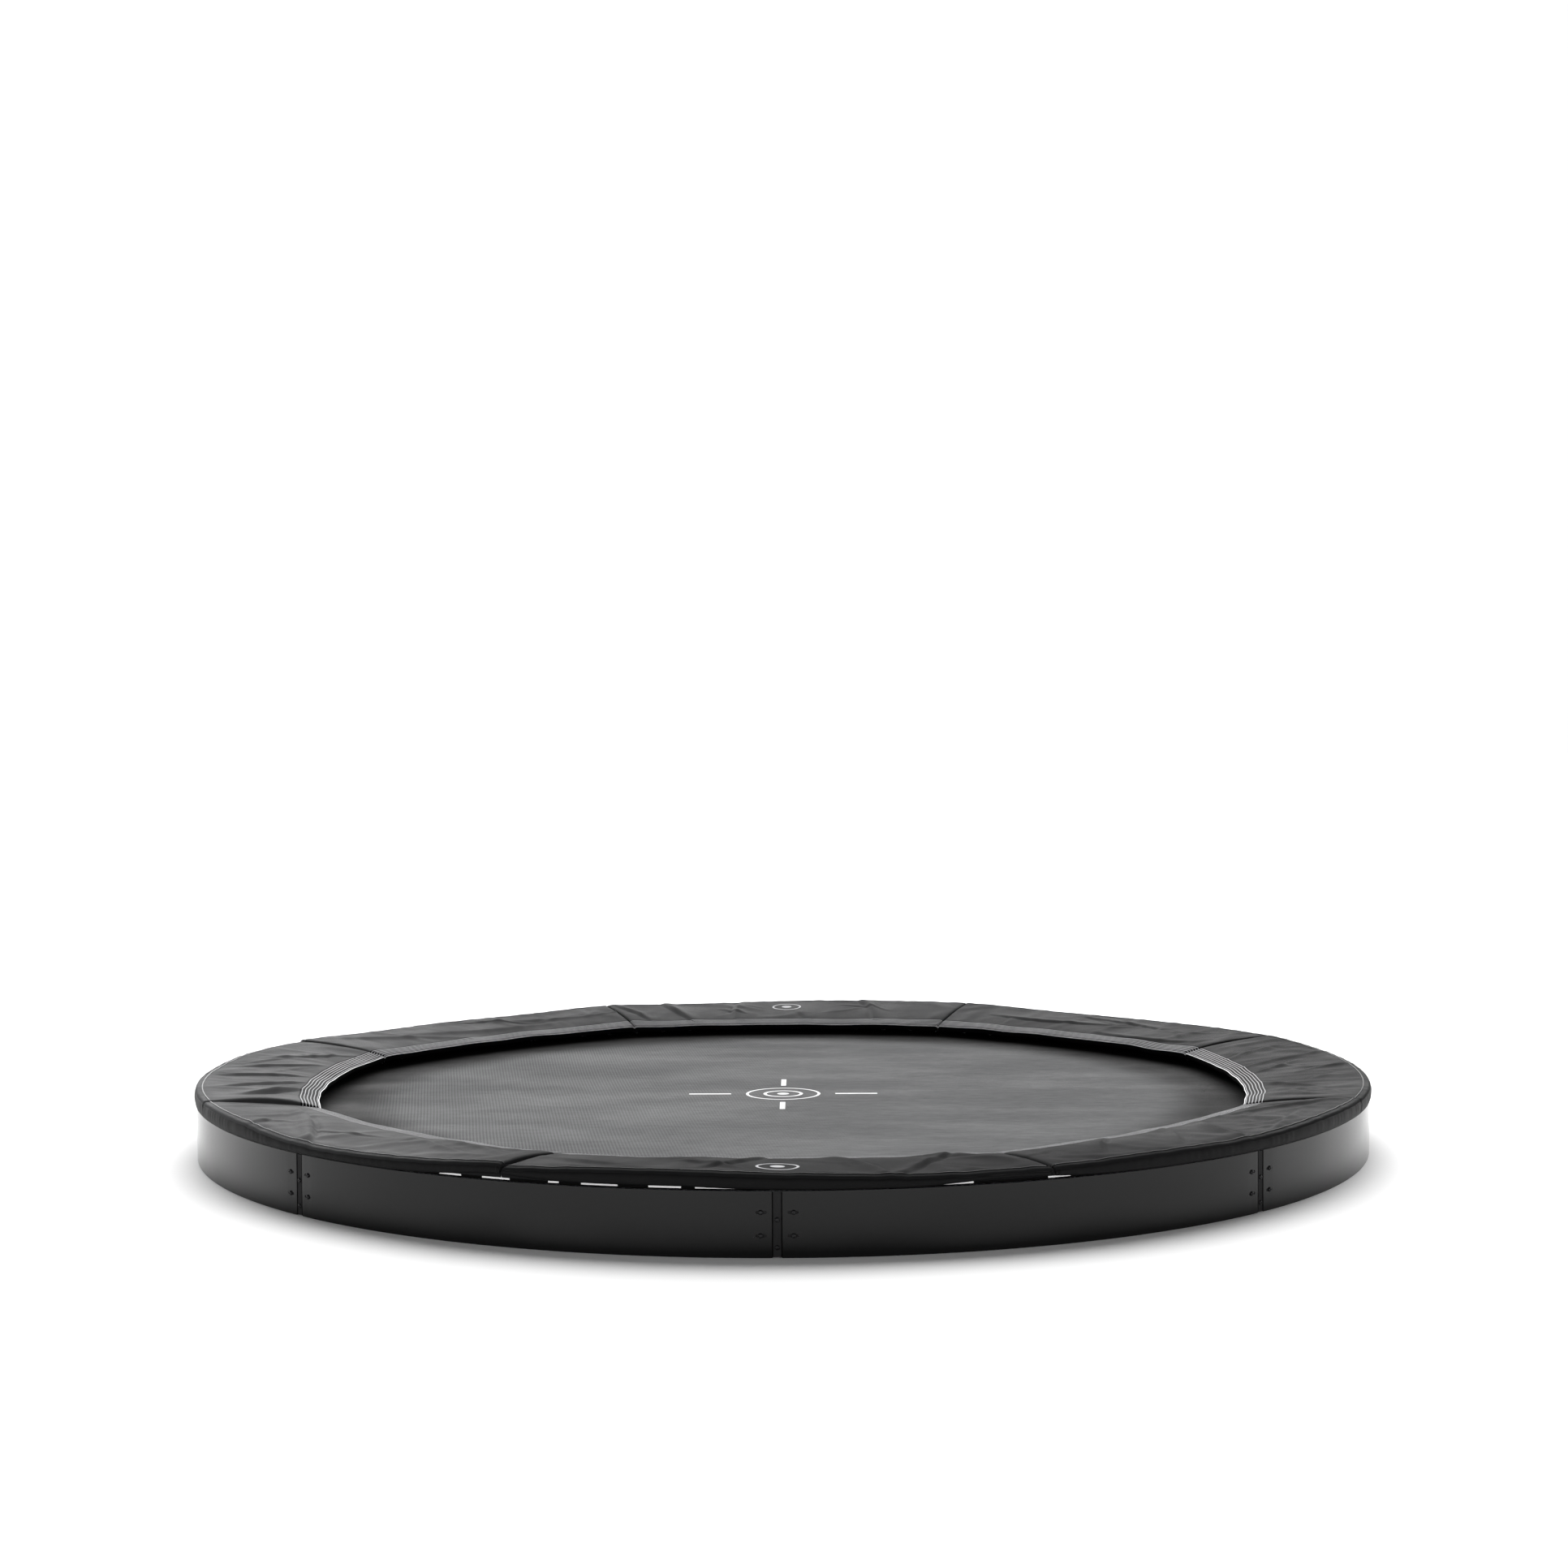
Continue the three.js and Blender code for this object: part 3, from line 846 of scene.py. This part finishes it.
# How far the middle of each section's start and end stands up above its neighbour, in millimetres
END_HUMP = {
    1: (0, 0), 2: (1, -3), 3: (3, 0), 4: (4, -2),
    5: (2, 4), 6: (0, 3), 7: (2, 13), 8: (-2, 3),
}

# The long folds of each section's cover: along and across at one end and at the other, in percent,
# then height and width in millimetres
FOLDS = {
    1: ((60, 5, 70, 100, 6, 40), (88, 15, 71, 100, 7, 30), (47, 12, 36, 80, 7, 35),
        (24, 28, 46, 85, 6, 30), (2, 45, 24, 80, 6, 28), (80, 8, 97, 62, 8, 45)),
    2: ((62, 18, 47, 95, 10, 35), (72, 20, 100, 85, 8, 22), (50, 12, 34, 75, 6, 30),
        (30, 12, 15, 70, 6, 35), (84, 16, 98, 60, 5, 20), (58, 90, 80, 72, 6, 20)),
    3: ((62, 14, 72, 95, 6, 26), (50, 15, 62, 60, 6, 20), (34, 14, 20, 60, 7, 22),
        (78, 15, 86, 90, 5, 30), (45, 50, 52, 98, 5, 20), (12, 16, 6, 75, 5, 25)),
    4: ((10, 30, 45, 22, 5, 30), (50, 55, 85, 50, 6, 34), (30, 60, 62, 80, 5, 28)),
    5: ((80, 16, 84, 95, 10, 36), (66, 16, 62, 95, 8, 40), (22, 16, 30, 100, 9, 36),
        (44, 20, 50, 85, 5, 30), (93, 20, 98, 90, 6, 26)),
    6: ((95, 85, 60, 20, 8, 32), (70, 62, 25, 38, 7, 36), (40, 75, 8, 55, 6, 30)),
    7: ((74, 18, 90, 60, 13, 40), (52, 22, 60, 85, 6, 40), (32, 24, 46, 80, 5, 34),
        (10, 20, 30, 72, 5, 30), (62, 20, 78, 80, 6, 26)),
    8: ((12, 34, 52, 96, 12, 40), (66, 14, 92, 44, 6, 22), (72, 12, 96, 30, 5, 20),
        (60, 22, 86, 62, 5, 26), (26, 75, 30, 100, 6, 30)),
}

# Where the skirt is lifted off the wall: azimuth and half width in degrees, and height
SKIRT_LIFTS = ((-113.5, 5.0, 0.018), (-101.0, 9.5, 0.011), (-71.0, 6.0, 0.014))

# Stretches of white foam that show below the skirt: azimuths in degrees from start to end
BARE_FOAM = (
    (-118.4, -116.3), (-114.3, -111.8), (-108.4, -107.5), (-105.6, -102.6), (-100.1, -97.5),
    (-96.4, -93.0), (-91.9, -91.5), (-77.3, -74.4), (-68.0, -66.0),
)


def waves_round(seed, counts, amplitude, turn):
    """A smooth closed wave round the ring, made of waves with these counts."""
    rng = np.random.default_rng(seed)
    total = np.zeros_like(turn)
    for count in counts:
        total += rng.uniform(0.5, 1.0) * np.sin(count * turn + rng.uniform(0, 2 * math.pi))
    return amplitude * total / math.sqrt(len(counts))


def bump_at(x, middle, width):
    return np.exp(-(((x - middle) / width) ** 2))


def smooth_curve(values, place):
    """A smooth curve through evenly spaced values, read at places from 0 to 1."""
    values = np.asarray(values, float)
    slopes = np.gradient(values)
    at = np.clip(place, 0, 1) * (len(values) - 1)
    i = np.minimum(at.astype(int), len(values) - 2)
    t = at - i
    start = (1 + 2 * t) * (1 - t) ** 2 * values[i] + t * (1 - t) ** 2 * slopes[i]
    end = t**2 * (3 - 2 * t) * values[i + 1] + t**2 * (t - 1) * slopes[i + 1]
    return start + end


def inner_height(turn):
    """The inner edge lies a little higher at the front than at the back."""
    return 0.199 - 0.013 * np.sin(turn) + waves_round(3, (19, 27, 41), 0.0022, turn)


def crest_height(k, place):
    """Height of the outer edge of section k, at places from 0 to 1 along it."""
    turn = joint_angle(k) + (place - 0.5) * SECTION
    edge = smooth_curve(np.array(CREST[k]) / 1000, place)
    return edge + waves_round(7, (97, 151, 211), 0.0006, turn)


def section_places(count, rounded):
    """Azimuths from the middle of a section to its points, closer together at rounded ends."""
    places = np.linspace(-HALF_SECTION, HALF_SECTION, count)
    if rounded:
        near = np.array([0.0, 0.06, 0.2, 0.45, 0.75]) * END_ROUNDING / PAD_OUTER
        places = np.concatenate([near - HALF_SECTION, places[1:-1], HALF_SECTION - near[::-1]])
    return places


def top_surface(k, local, across):
    """The cover's top over section k: points at azimuths from its middle, and at shares across."""
    turn = joint_angle(k) + local
    inner = PAD_INNER + (PAD_INNER_AT_SEAM - PAD_INNER) * (local / HALF_SECTION) ** 2
    inner += waves_round(8, (23, 37, 53), 0.0022, turn)
    radius = inner[:, None] + (ROLL_START - inner)[:, None] * across[None, :]
    low = inner_height(turn)[:, None]
    high = crest_height(k, local / SECTION + 0.5)[:, None]
    crown = 0.007 * np.sin(math.pi * across) ** 0.8
    height = low + (high - low) * across[None, :] ** 0.9 + crown[None, :]
    start, end = np.array(END_HUMP[k]) / 1000
    hump = start * bump_at(local, -HALF_SECTION, 0.07) + end * bump_at(local, HALF_SECTION, 0.07)
    height += hump[:, None] * np.sin(math.pi * across**0.8)[None, :]
    return polar(radius, turn[:, None], height)


def on_plan(k, along, across):
    """Plan position of a place in section k that is given by its shares along and across."""
    turn = joint_angle(k) + (along - 0.5) * SECTION
    inner = PAD_INNER + (PAD_INNER_AT_SEAM - PAD_INNER) * (2 * along - 1) ** 2
    radius = inner + (PAD_OUTER - inner) * across
    return np.array([radius * math.cos(turn), radius * math.sin(turn)])


def fold_height(points, start, end, height, width, bend):
    """One fold: a ridge from start to end, steep on its left and gentle on its right."""
    line = end - start
    reach = np.linalg.norm(line)
    line = line / reach
    offset = points[..., :2] - start
    ahead = offset @ line
    aside = offset @ np.array([-line[1], line[0]]) - bend * np.sin(math.pi * ahead / reach) * reach
    taper = np.sin(math.pi * np.clip((ahead / reach + 0.12) / 1.24, 0, 1)) ** 0.8
    ridge = np.where(aside > 0, bump_at(aside, 0, FOLD_STEEP), bump_at(aside, 0, width))
    furrow = 0.3 * bump_at(aside, 1.9 * FOLD_STEEP, FOLD_STEEP)
    return FOLD_SCALE * height * taper * (ridge - furrow)


def add_folds(k, top, across):
    """Lifts the long folds of section k's cover, and some small creases, out of its top."""
    rng = np.random.default_rng(100 + k)
    total = np.zeros(top.shape[:2])
    for *shares, height, width in FOLDS[k]:
        along_0, across_0, along_1, across_1 = (share / 100 for share in shares)
        ends = on_plan(k, along_0, across_0), on_plan(k, along_1, across_1)
        bend = rng.uniform(-0.06, 0.06)
        total += fold_height(top, *ends, height / 1000, width / 1000, bend)
    for _ in range(7):
        along, at = rng.uniform(0.05, 0.95), rng.uniform(0.2, 0.7)
        ends = on_plan(k, along, at), on_plan(k, along + rng.uniform(-0.2, 0.2), at + 0.25)
        size = rng.uniform(0.0012, 0.003)
        total += fold_height(top, *ends, size, rng.uniform(0.012, 0.03), rng.uniform(-0.1, 0.1))
    held = smooth_step((across * (PAD_OUTER - PAD_INNER) - 0.03) / 0.05)
    held *= 1 - 0.5 * smooth_step((across - 0.9) / 0.1)
    folded = top.copy()
    folded[..., 2] += total * held[None, :] * away_from_badges(top)
    return folded


def away_from_badges(points):
    """0 on the flat area round each badge, rising to 1 away from it."""
    apart = np.hypot(points[..., 0], np.abs(points[..., 1]) - BADGE_RADIUS)
    return smooth_step((apart - 0.07) / 0.12)


def level_off(height):
    """Rounds off whatever would stand above the cover's highest point."""
    above = np.clip(height - HIGHEST + LEVELLED, 0, None)
    return height - above + LEVELLED * (1 - np.exp(-above / LEVELLED))


def drape(surfaces):
    """Lays a slightly full cover over each section's foam by a cloth simulation."""
    rows, columns = DRAPE_GRID
    faces = []
    for n in range(len(surfaces)):
        faces += (np.array(loft_faces(rows, columns)) + n * rows * columns).tolist()
    start = np.concatenate([s.reshape(-1, 3) for s in surfaces])
    rng = np.random.default_rng(4)
    cover = new_piece("cover_drape", start, faces, pad_cover)
    foam = new_piece("foam_drape", start - np.array([0, 0, 0.003]), faces, pad_cover)
    pins = cover.vertex_groups.new(name="pins")
    index = np.arange(len(start)).reshape(len(surfaces), rows, columns)
    free = np.zeros(index.shape, bool)
    free[:, 1:-1, 5:-1] = True
    pins.add(index[~free].tolist(), 1.0, "REPLACE")
    shifted = start + rng.normal(0, 0.0004, start.shape) * free.reshape(-1, 1) * [0, 0, 1]
    cover.data.vertices.foreach_set("co", shifted.ravel())
    cloth = cover.modifiers.new("cloth", "CLOTH")
    settings = cloth.settings
    for name, value in CLOTH.items():
        setattr(settings, name, value)
    settings.vertex_group_mass = "pins"
    settings.effector_weights.gravity = 0.4
    cloth.collision_settings.distance_min = 0.002
    cloth.collision_settings.use_self_collision = False
    foam.modifiers.new("collision", "COLLISION")
    foam.collision.thickness_outer = 0.001
    scene = bpy.context.scene
    cloth.point_cache.frame_start = 1
    cloth.point_cache.frame_end = DRAPE_FRAMES
    for step in range(1, DRAPE_FRAMES + 1):
        scene.frame_set(step)
    graph = bpy.context.evaluated_depsgraph_get()
    made = cover.evaluated_get(graph).to_mesh()
    result = np.empty(len(start) * 3)
    made.vertices.foreach_get("co", result)
    moved = result.reshape(start.shape) - start
    far = np.linalg.norm(moved, axis=1, keepdims=True)
    moved *= np.minimum(1, DRAPE_REACH / np.maximum(far, 1e-9))
    bpy.data.objects.remove(cover)
    bpy.data.objects.remove(foam)
    scene.frame_set(1)
    return moved.reshape(len(surfaces), rows, columns, 3)


def spline_weights(places, count):
    """Weights that read a smooth curve near count even steps, at places from 0 to 1."""
    apart = np.abs(np.clip(places, 0, 1)[:, None] * (count - 1) - np.arange(count)[None, :])
    apart /= DRAPE_SMOOTHING
    near = 2 / 3 - apart**2 + apart**3 / 2
    far = np.clip(2 - apart, 0, None) ** 3 / 6
    weights = np.where(apart < 1, near, far)
    return weights / weights.sum(axis=1, keepdims=True)


def cover_surface(k, moved):
    """The kept cover of section k, with the draped shape's moves carried to its finer grid."""
    local = section_places(COVER_GRID[0], rounded=True)
    across = np.linspace(0, 1, COVER_GRID[1])
    top = top_surface(k, local, across)
    if moved is not None:
        along_weights = spline_weights(local / (2 * HALF_SECTION) + 0.5, DRAPE_GRID[0])
        across_weights = spline_weights(across, DRAPE_GRID[1])
        draped = np.einsum("ai,bj,ijc->abc", along_weights, across_weights, moved)
        top += DRAPE_SHARE * draped * away_from_badges(top)[..., None]
    top = add_folds(k, top, across)
    top[..., 2] = level_off(top[..., 2])
    near_end = np.clip(1 - (HALF_SECTION - np.abs(local)) * PAD_OUTER / END_ROUNDING, 0, 1)
    top[..., 2] -= (END_DROP * (1 - np.sqrt(1 - near_end**2)))[:, None]
    return top


def roll_depth(crest):
    """Half the height of the rolled edge, where the cover's outer edge is this high."""
    return np.clip((crest - UNDERSIDE) / 2, 0.003, ROLL)


def close_section(k, top):
    """The whole section from its cover's top, with a rolled edge, underside and inner face."""
    turn = np.arctan2(top[:, -1, 1], top[:, -1, 0])
    crest = top[:, -1, 2]
    edge = []
    for a in np.radians((25, 50, 75, 95)):
        fall = roll_depth(crest) * (1 - math.cos(a))
        edge.append(polar(ROLL_START + ROLL * math.sin(a), turn, crest - fall))
    outer = ROLL_START + ROLL
    edge.append(polar(outer - 0.002, turn, UNDERSIDE + 0.3 * (crest - UNDERSIDE)))
    inner = np.hypot(top[:, 0, 0], top[:, 0, 1])
    inner_turn = np.arctan2(top[:, 0, 1], top[:, 0, 0])
    trim_height = top[:, 0, 2]
    for share in (0.0, 0.16, 0.35, 0.55, 0.75, 0.93):
        r = outer - 0.004 + (inner - outer + 0.004) * share
        edge.append(polar(r, inner_turn, UNDERSIDE + (trim_height - LIP - UNDERSIDE) * share))
    drops, backs = (1.0, 0.94, 0.7, 0.35, 0.08), (0.007, 0.0035, 0.0008, -0.0012, -0.0006)
    face = [
        polar(inner + back, inner_turn, trim_height - drop * LIP)
        for drop, back in zip(drops, backs)
    ]
    loop = np.stack([*top.transpose(1, 0, 2), *edge, *face], 1)
    step = np.linalg.norm(np.diff(loop, axis=1), axis=2)
    across = np.concatenate([np.zeros((len(loop), 1)), np.cumsum(step, 1)], 1)
    # painted shade: the inner face is mapped into the trim's black band
    across[:, -len(face):] = -0.01
    along = np.broadcast_to((turn * PAD_INNER)[:, None], across.shape)
    faces = loft_faces(*loop.shape[:2], closed_columns=True, caps=True)
    piece = new_piece(f"pad_{k}", loop, faces, pad_cover, uv=np.stack([along, across], -1))
    fix_normals(piece)
    piece.data.set_sharp_from_angle(angle=math.radians(75))
    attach(piece, "frame")
    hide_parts(f"pad_section_{k}")


def strip(name, rows, thickness, material):
    """A closed band from rows of points, outermost face first, thickened towards the middle."""
    outer = np.stack(rows, 1)
    flat = outer[..., :2]
    inward = flat / np.linalg.norm(flat, axis=-1, keepdims=True) * thickness
    inner = outer.copy()
    inner[..., :2] -= inward
    loop = np.concatenate([outer, inner[:, ::-1]], 1)
    turn = np.arctan2(loop[..., 1], loop[..., 0])
    uv = np.stack([turn * PAD_OUTER, loop[..., 2]], -1)
    faces = loft_faces(*loop.shape[:2], closed_columns=True, caps=True)
    piece = new_piece(name, loop, faces, material, uv=uv)
    fix_normals(piece)
    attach(piece, "frame")


def skirt_bottom(turn):
    """The skirt hangs down to the wall, except at the front, where it is lifted."""
    total = 0.1968 + waves_round(21, (31, 47), 0.0006, turn)
    for azimuth, half_width, height in SKIRT_LIFTS:
        total += height * bump_at(turn, math.radians(azimuth), math.radians(half_width))
    return total


def make_skirt(k, top):
    """The skirt under section k's rolled edge, the black sheet behind it that paints the shade in
    the gap above the wall, the piping and the welt.
    """
    turn = joint_angle(k) + section_places(COVER_GRID[0], rounded=True)
    turn = (turn + math.pi) % (2 * math.pi) - math.pi
    crest = top[:, -1, 2] - roll_depth(top[:, -1, 2]) * 0.9
    low = np.minimum(skirt_bottom(turn), crest - 0.006)
    gathered = smooth_step(0.5 + waves_round(33, (29, 43, 61), 0.7, turn))
    ribs = 0.0006 * np.sin(turn * PAD_OUTER * 2 * math.pi / 0.011) * gathered
    puckers = waves_round(34, (83, 127, 171), 0.0009, turn)
    shares = (0.0, 0.06, 0.18, 0.38, 0.6, 0.82, 1.0)
    bulges = (-0.0012, 0.0006, 0.0022, 0.0034, 0.0032, 0.0018, -0.0004)
    rows = []
    for share, bulge in zip(shares, bulges):
        ripple = (ribs + puckers) * math.sin(math.pi * min(share + 0.1, 1))
        radius = PAD_OUTER - 0.0028 + bulge + ripple
        rows.append(polar(radius, turn, crest + (low - crest) * share))
    strip(f"skirt_{k}", rows, 0.0012, painted_shade_skirt)
    # painted shade: a black sheet behind the skirt darkens the gap above the wall
    shade_sheet = [polar(2.1302, turn, np.full_like(turn, z)) for z in (0.2085, 0.2025, 0.1964)]
    strip(f"lining_{k}", shade_sheet, 0.0008, painted_shade_black)
    piping = top[:, -3] + np.array([0, 0, 0.0004])
    inner = np.hypot(top[:, 0, 0], top[:, 0, 1])
    welt = polar(inner - 0.0012, np.arctan2(top[:, 0, 1], top[:, 0, 0]), top[:, 0, 2] - 0.0035)
    for stem, path, radius, material in (
        ("piping", piping, 0.0022, piping_cord),
        ("welt", welt, 0.0019, white_welt),
    ):
        piece = join_parts(f"{stem}_{k}", [wire(path, radius)], material)
        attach(piece, "frame")


def make_bare_foam():
    """The foam's white edge where the lifted skirt leaves it bare; between its stretches the black
    sheet behind the skirt paints the shade.
    """
    parts = []
    for start, end in BARE_FOAM:
        turn = np.radians(np.linspace(start, end, 6))
        r = np.array((2.1322, 2.1326, 2.1326, 2.1306, 2.1306))
        z = np.array((0.2005, 0.2015, 0.2175, 0.2175, 0.2005))
        points = polar(r[None, :], turn[:, None], z[None, :])
        parts.append((points, loft_faces(len(turn), len(r), closed_columns=True, caps=True)))
    piece = join_parts("foam_edge", parts, white_foam, 40)
    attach(piece, "frame")


SECTION_NUMBERS = range(1, SECTIONS + 1)
moves = [None] * SECTIONS
local = section_places(DRAPE_GRID[0], rounded=False)
across = np.linspace(0, 1, DRAPE_GRID[1])
moves = drape([top_surface(k, local, across) for k in SECTION_NUMBERS])
for k, moved in zip(SECTION_NUMBERS, moves):
    cover_top = cover_surface(k, moved)
    close_section(k, cover_top)
    make_skirt(k, cover_top)
make_bare_foam()


# ---------------------------------------------------------------- floor, light and camera

HORIZON = 1.02  # brightness of the surroundings near the horizon
CEILING = 0.13  # and overhead
GLOW = 3.6  # added in the middle of the large light behind, at the left
GLOW_FROM = Vector((-0.36, 0.92, 0.16)).normalized()
FLOOR_REACH = 60.0
CAMERA_PLACE = (0.0, -9.318, 1.610)
FOCAL_LENGTH = 57.42  # millimetres, on a sensor 36 mm wide


def make_stage():
    n = Surface("floor_white", (0.92, 0.92, 0.92), 0.9, Specular_IOR_Level=0.1)
    tone = n.mix(n.noise(n.place(), 0.6), (0.915, 0.915, 0.915), (0.925, 0.925, 0.925))
    n.set("Base Color", tone)
    corners = FLOOR_REACH * np.array([(-1, -1, 0), (1, -1, 0), (1, 1, 0), (-1, 1, 0)])
    floor = new_piece("floor", corners, [[0, 1, 2, 3]], n.material)
    floor.location.z = -0.0005
    world = bpy.data.worlds.new("studio")
    bpy.context.scene.world = world
    world.use_nodes = True
    n = Nodes(world.node_tree)
    direction = n.add("ShaderNodeTexCoord").outputs["Generated"]
    fade = n.ramp(n.split(direction)[2], 0.28, 0.5, HORIZON, CEILING)
    inputs = {0: direction, 1: GLOW_FROM}
    facing = n.add("ShaderNodeVectorMath", inputs, operation="DOT_PRODUCT").outputs["Value"]
    brightness = n.math("ADD", fade, n.ramp(facing, 0.94, 0.995, 0.0, GLOW))
    background = world.node_tree.nodes["Background"].inputs
    background["Color"].default_value = (1, 1, 1, 1)
    world.node_tree.links.new(brightness, background["Strength"])


def soft_light(name, direction, spread_deg, strength):
    """A distant softbox: spread_deg across, with light that travels along direction."""
    lamp = bpy.data.lights.new(name, "SUN")
    lamp.angle = math.radians(spread_deg)
    lamp.energy = strength
    holder = bpy.data.objects.new(name, lamp)
    holder.rotation_euler = Vector(direction).to_track_quat("-Z", "Y").to_euler()
    bpy.context.scene.collection.objects.link(holder)


def make_camera():
    lens = bpy.data.cameras.new("camera")
    lens.sensor_width = 36.0
    lens.lens = FOCAL_LENGTH
    camera = bpy.data.objects.new("camera", lens)
    turns = ((0.52, "Z"), (-0.056, "Z"), (90 - 1.90, "X"), (-0.294, "Z"))
    orbit, yaw, pitch, roll = (Matrix.Rotation(math.radians(a), 4, axis) for a, axis in turns)
    camera.matrix_world = orbit @ Matrix.Translation(CAMERA_PLACE) @ yaw @ pitch @ roll
    bpy.context.scene.collection.objects.link(camera)
    bpy.context.scene.camera = camera


make_stage()
soft_light("key_light", (0.0, -0.77, -0.64), 70, 6.3)
make_camera()
bpy.context.scene.view_settings.view_transform = "Standard"
